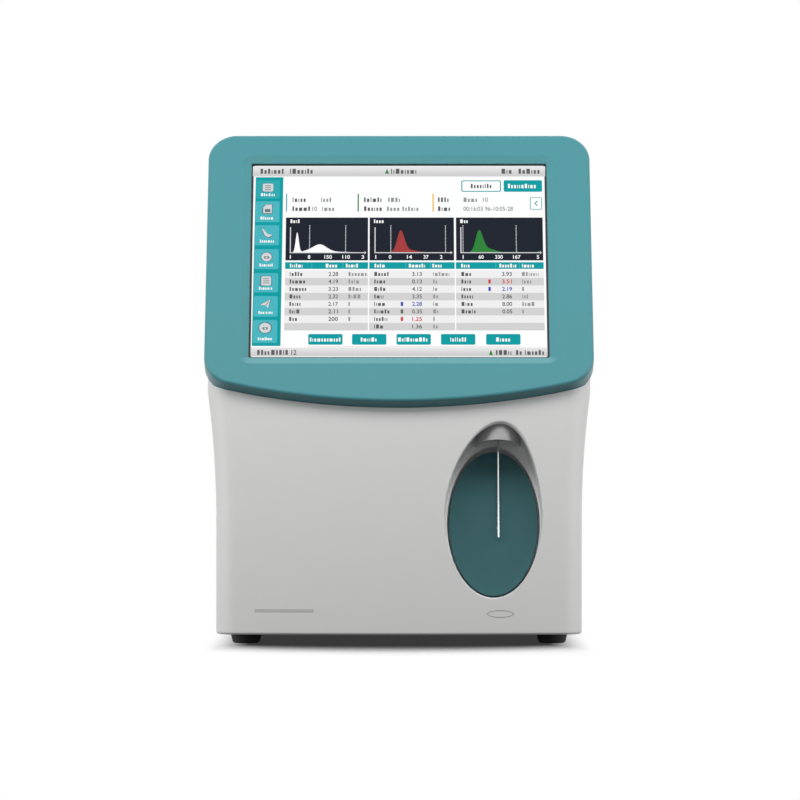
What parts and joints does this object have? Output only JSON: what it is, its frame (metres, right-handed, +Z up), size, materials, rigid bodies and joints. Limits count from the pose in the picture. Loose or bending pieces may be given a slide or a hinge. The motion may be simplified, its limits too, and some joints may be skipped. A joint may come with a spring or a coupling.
{
  "type": "hematology analyzer",
  "caption": "Bench-top blood cell analyzer: leaning touch display over a bowed housing, oval aspirate key behind a hanging sample probe, side service door and rear connectors.",
  "frame": {"origin": "on the bench under the middle of the machine", "axes": "+X to the right of someone facing the screen, -Y the front with the screen, +Z up"},
  "size_m": [0.321, 0.3882, 0.4241],
  "materials": {
    "white_plastic": "fine-textured moulded ABS, light grey-white",
    "teal_plastic": "satin moulded ABS, teal",
    "dark_teal_plastic": "satin moulded plastic, dark teal",
    "grey_plastic": "satin grey moulded plastic",
    "black_plastic": "matt black moulded plastic",
    "clear_plastic": "translucent moulded plastic",
    "black_rubber": "matt black rubber",
    "screen_glass": "smooth touch glass over a lit display",
    "painted_steel": "powder-coated sheet steel",
    "zinc_steel": "zinc-plated sheet steel",
    "stainless": "ground stainless steel",
    "aluminium": "machined aluminium",
    "circuit_board": "green solder mask"
  },
  "bodies": {
    "root": {"base_plate": "zinc_steel", "foot_front_left": "black_rubber", "foot_front_right": "black_rubber", "foot_rear_left": "black_rubber", "foot_rear_right": "black_rubber", "front_frame": "zinc_steel", "partition": "zinc_steel", "rear_panel": "painted_steel", "front_cover": "white_plastic", "top_cover": "white_plastic", "left_side_cover": "white_plastic", "screen_bezel": "teal_plastic", "screen_gasket": "black_rubber", "touch_glass": "screen_glass", "lcd_module": "zinc_steel", "display_plate": "zinc_steel", "key_switch": "black_plastic", "probe_visor": "grey_plastic", "probe_wipe_block": "clear_plastic", "probe_rail": "stainless", "lift_bracket": "zinc_steel", "lift_belt": "black_rubber", "lift_motor": "black_plastic", "lower_hinge_leaf": "stainless", "upper_hinge_leaf": "stainless", "lower_hinge_pin": "stainless", "upper_hinge_pin": "stainless", "latch_catch": "zinc_steel", "bath_shelf": "zinc_steel", "white_cell_bath": "clear_plastic", "red_cell_bath": "clear_plastic", "syringe_bracket": "zinc_steel", "syringe_barrel": "clear_plastic", "syringe_motor": "black_plastic", "pump_housing": "grey_plastic", "pump_motor": "zinc_steel", "valve_block": "white_plastic", "diluent_tube": "clear_plastic", "waste_tube": "clear_plastic", "power_supply": "zinc_steel", "main_board": "circuit_board", "fan_frame": "black_plastic", "fan_guard": "zinc_steel", "power_inlet": "black_plastic", "reagent_ports": "grey_plastic", "data_sockets": "zinc_steel"},
    "key": {"aspirate_key": "dark_teal_plastic"},
    "probe": {"sample_probe": "stainless", "probe_carriage": "aluminium"},
    "idler": {"idler_pulley": "aluminium"},
    "drive": {"drive_pulley": "aluminium"},
    "door": {"service_door": "white_plastic"},
    "latch": {"door_latch": "grey_plastic"},
    "plunger": {"syringe_plunger": "stainless"},
    "fan": {"fan_rotor": "black_plastic"},
    "pump": {"pump_rotor": "black_plastic"},
    "rocker": {"power_rocker": "black_plastic"}
  },
  "joints": [
    {"name": "key_press", "type": "slide", "parent": "root", "child": "key", "axis": [0, 0.9781, -0.2079], "range_m": [0, 0.003], "stiffness_N_per_m": 300, "springref_m": -0.003},
    {"name": "probe_lift", "type": "slide", "parent": "root", "child": "probe", "axis": [0, 0.2079, 0.9781], "range_m": [0, 0.08]},
    {"name": "idler_turn", "type": "hinge", "parent": "root", "child": "idler", "pos_m": [0.103, -0.12849, 0.19587], "axis": [0, 0.9781, -0.2079], "range_deg": [0, 535]},
    {"name": "drive_turn", "type": "hinge", "parent": "root", "child": "drive", "pos_m": [0.103, -0.11144, 0.27608], "axis": [0, 0.9781, -0.2079], "range_deg": [0, 535]},
    {"name": "door_swing", "type": "hinge", "parent": "root", "child": "door", "pos_m": [0.152, 0.1858, 0.105], "axis": [0, 0, 1], "range_deg": [0, 110]},
    {"name": "latch_turn", "type": "hinge", "parent": "door", "child": "latch", "pos_m": [0.15, -0.105, 0.11], "axis": [-1, 0, 0], "range_deg": [0, 90]},
    {"name": "plunger_stroke", "type": "slide", "parent": "root", "child": "plunger", "axis": [0, 0, 1], "range_m": [0, 0.04]},
    {"name": "fan_spin", "type": "hinge", "parent": "root", "child": "fan", "pos_m": [-0.085, 0.167, 0.3], "axis": [0, 1, 0], "continuous": true},
    {"name": "pump_spin", "type": "hinge", "parent": "root", "child": "pump", "pos_m": [0.004, 0.112, 0.1], "axis": [1, 0, 0], "continuous": true},
    {"name": "rocker_tilt", "type": "hinge", "parent": "root", "child": "rocker", "pos_m": [-0.1075, 0.1818, 0.062], "axis": [-1, 0, 0], "range_deg": [0, 16]}
  ],
  "couplings": [
    {"joint": "idler_turn", "follows": "probe_lift", "rad_per_m": 116.28},
    {"joint": "drive_turn", "follows": "probe_lift", "rad_per_m": 116.28}
  ]
}
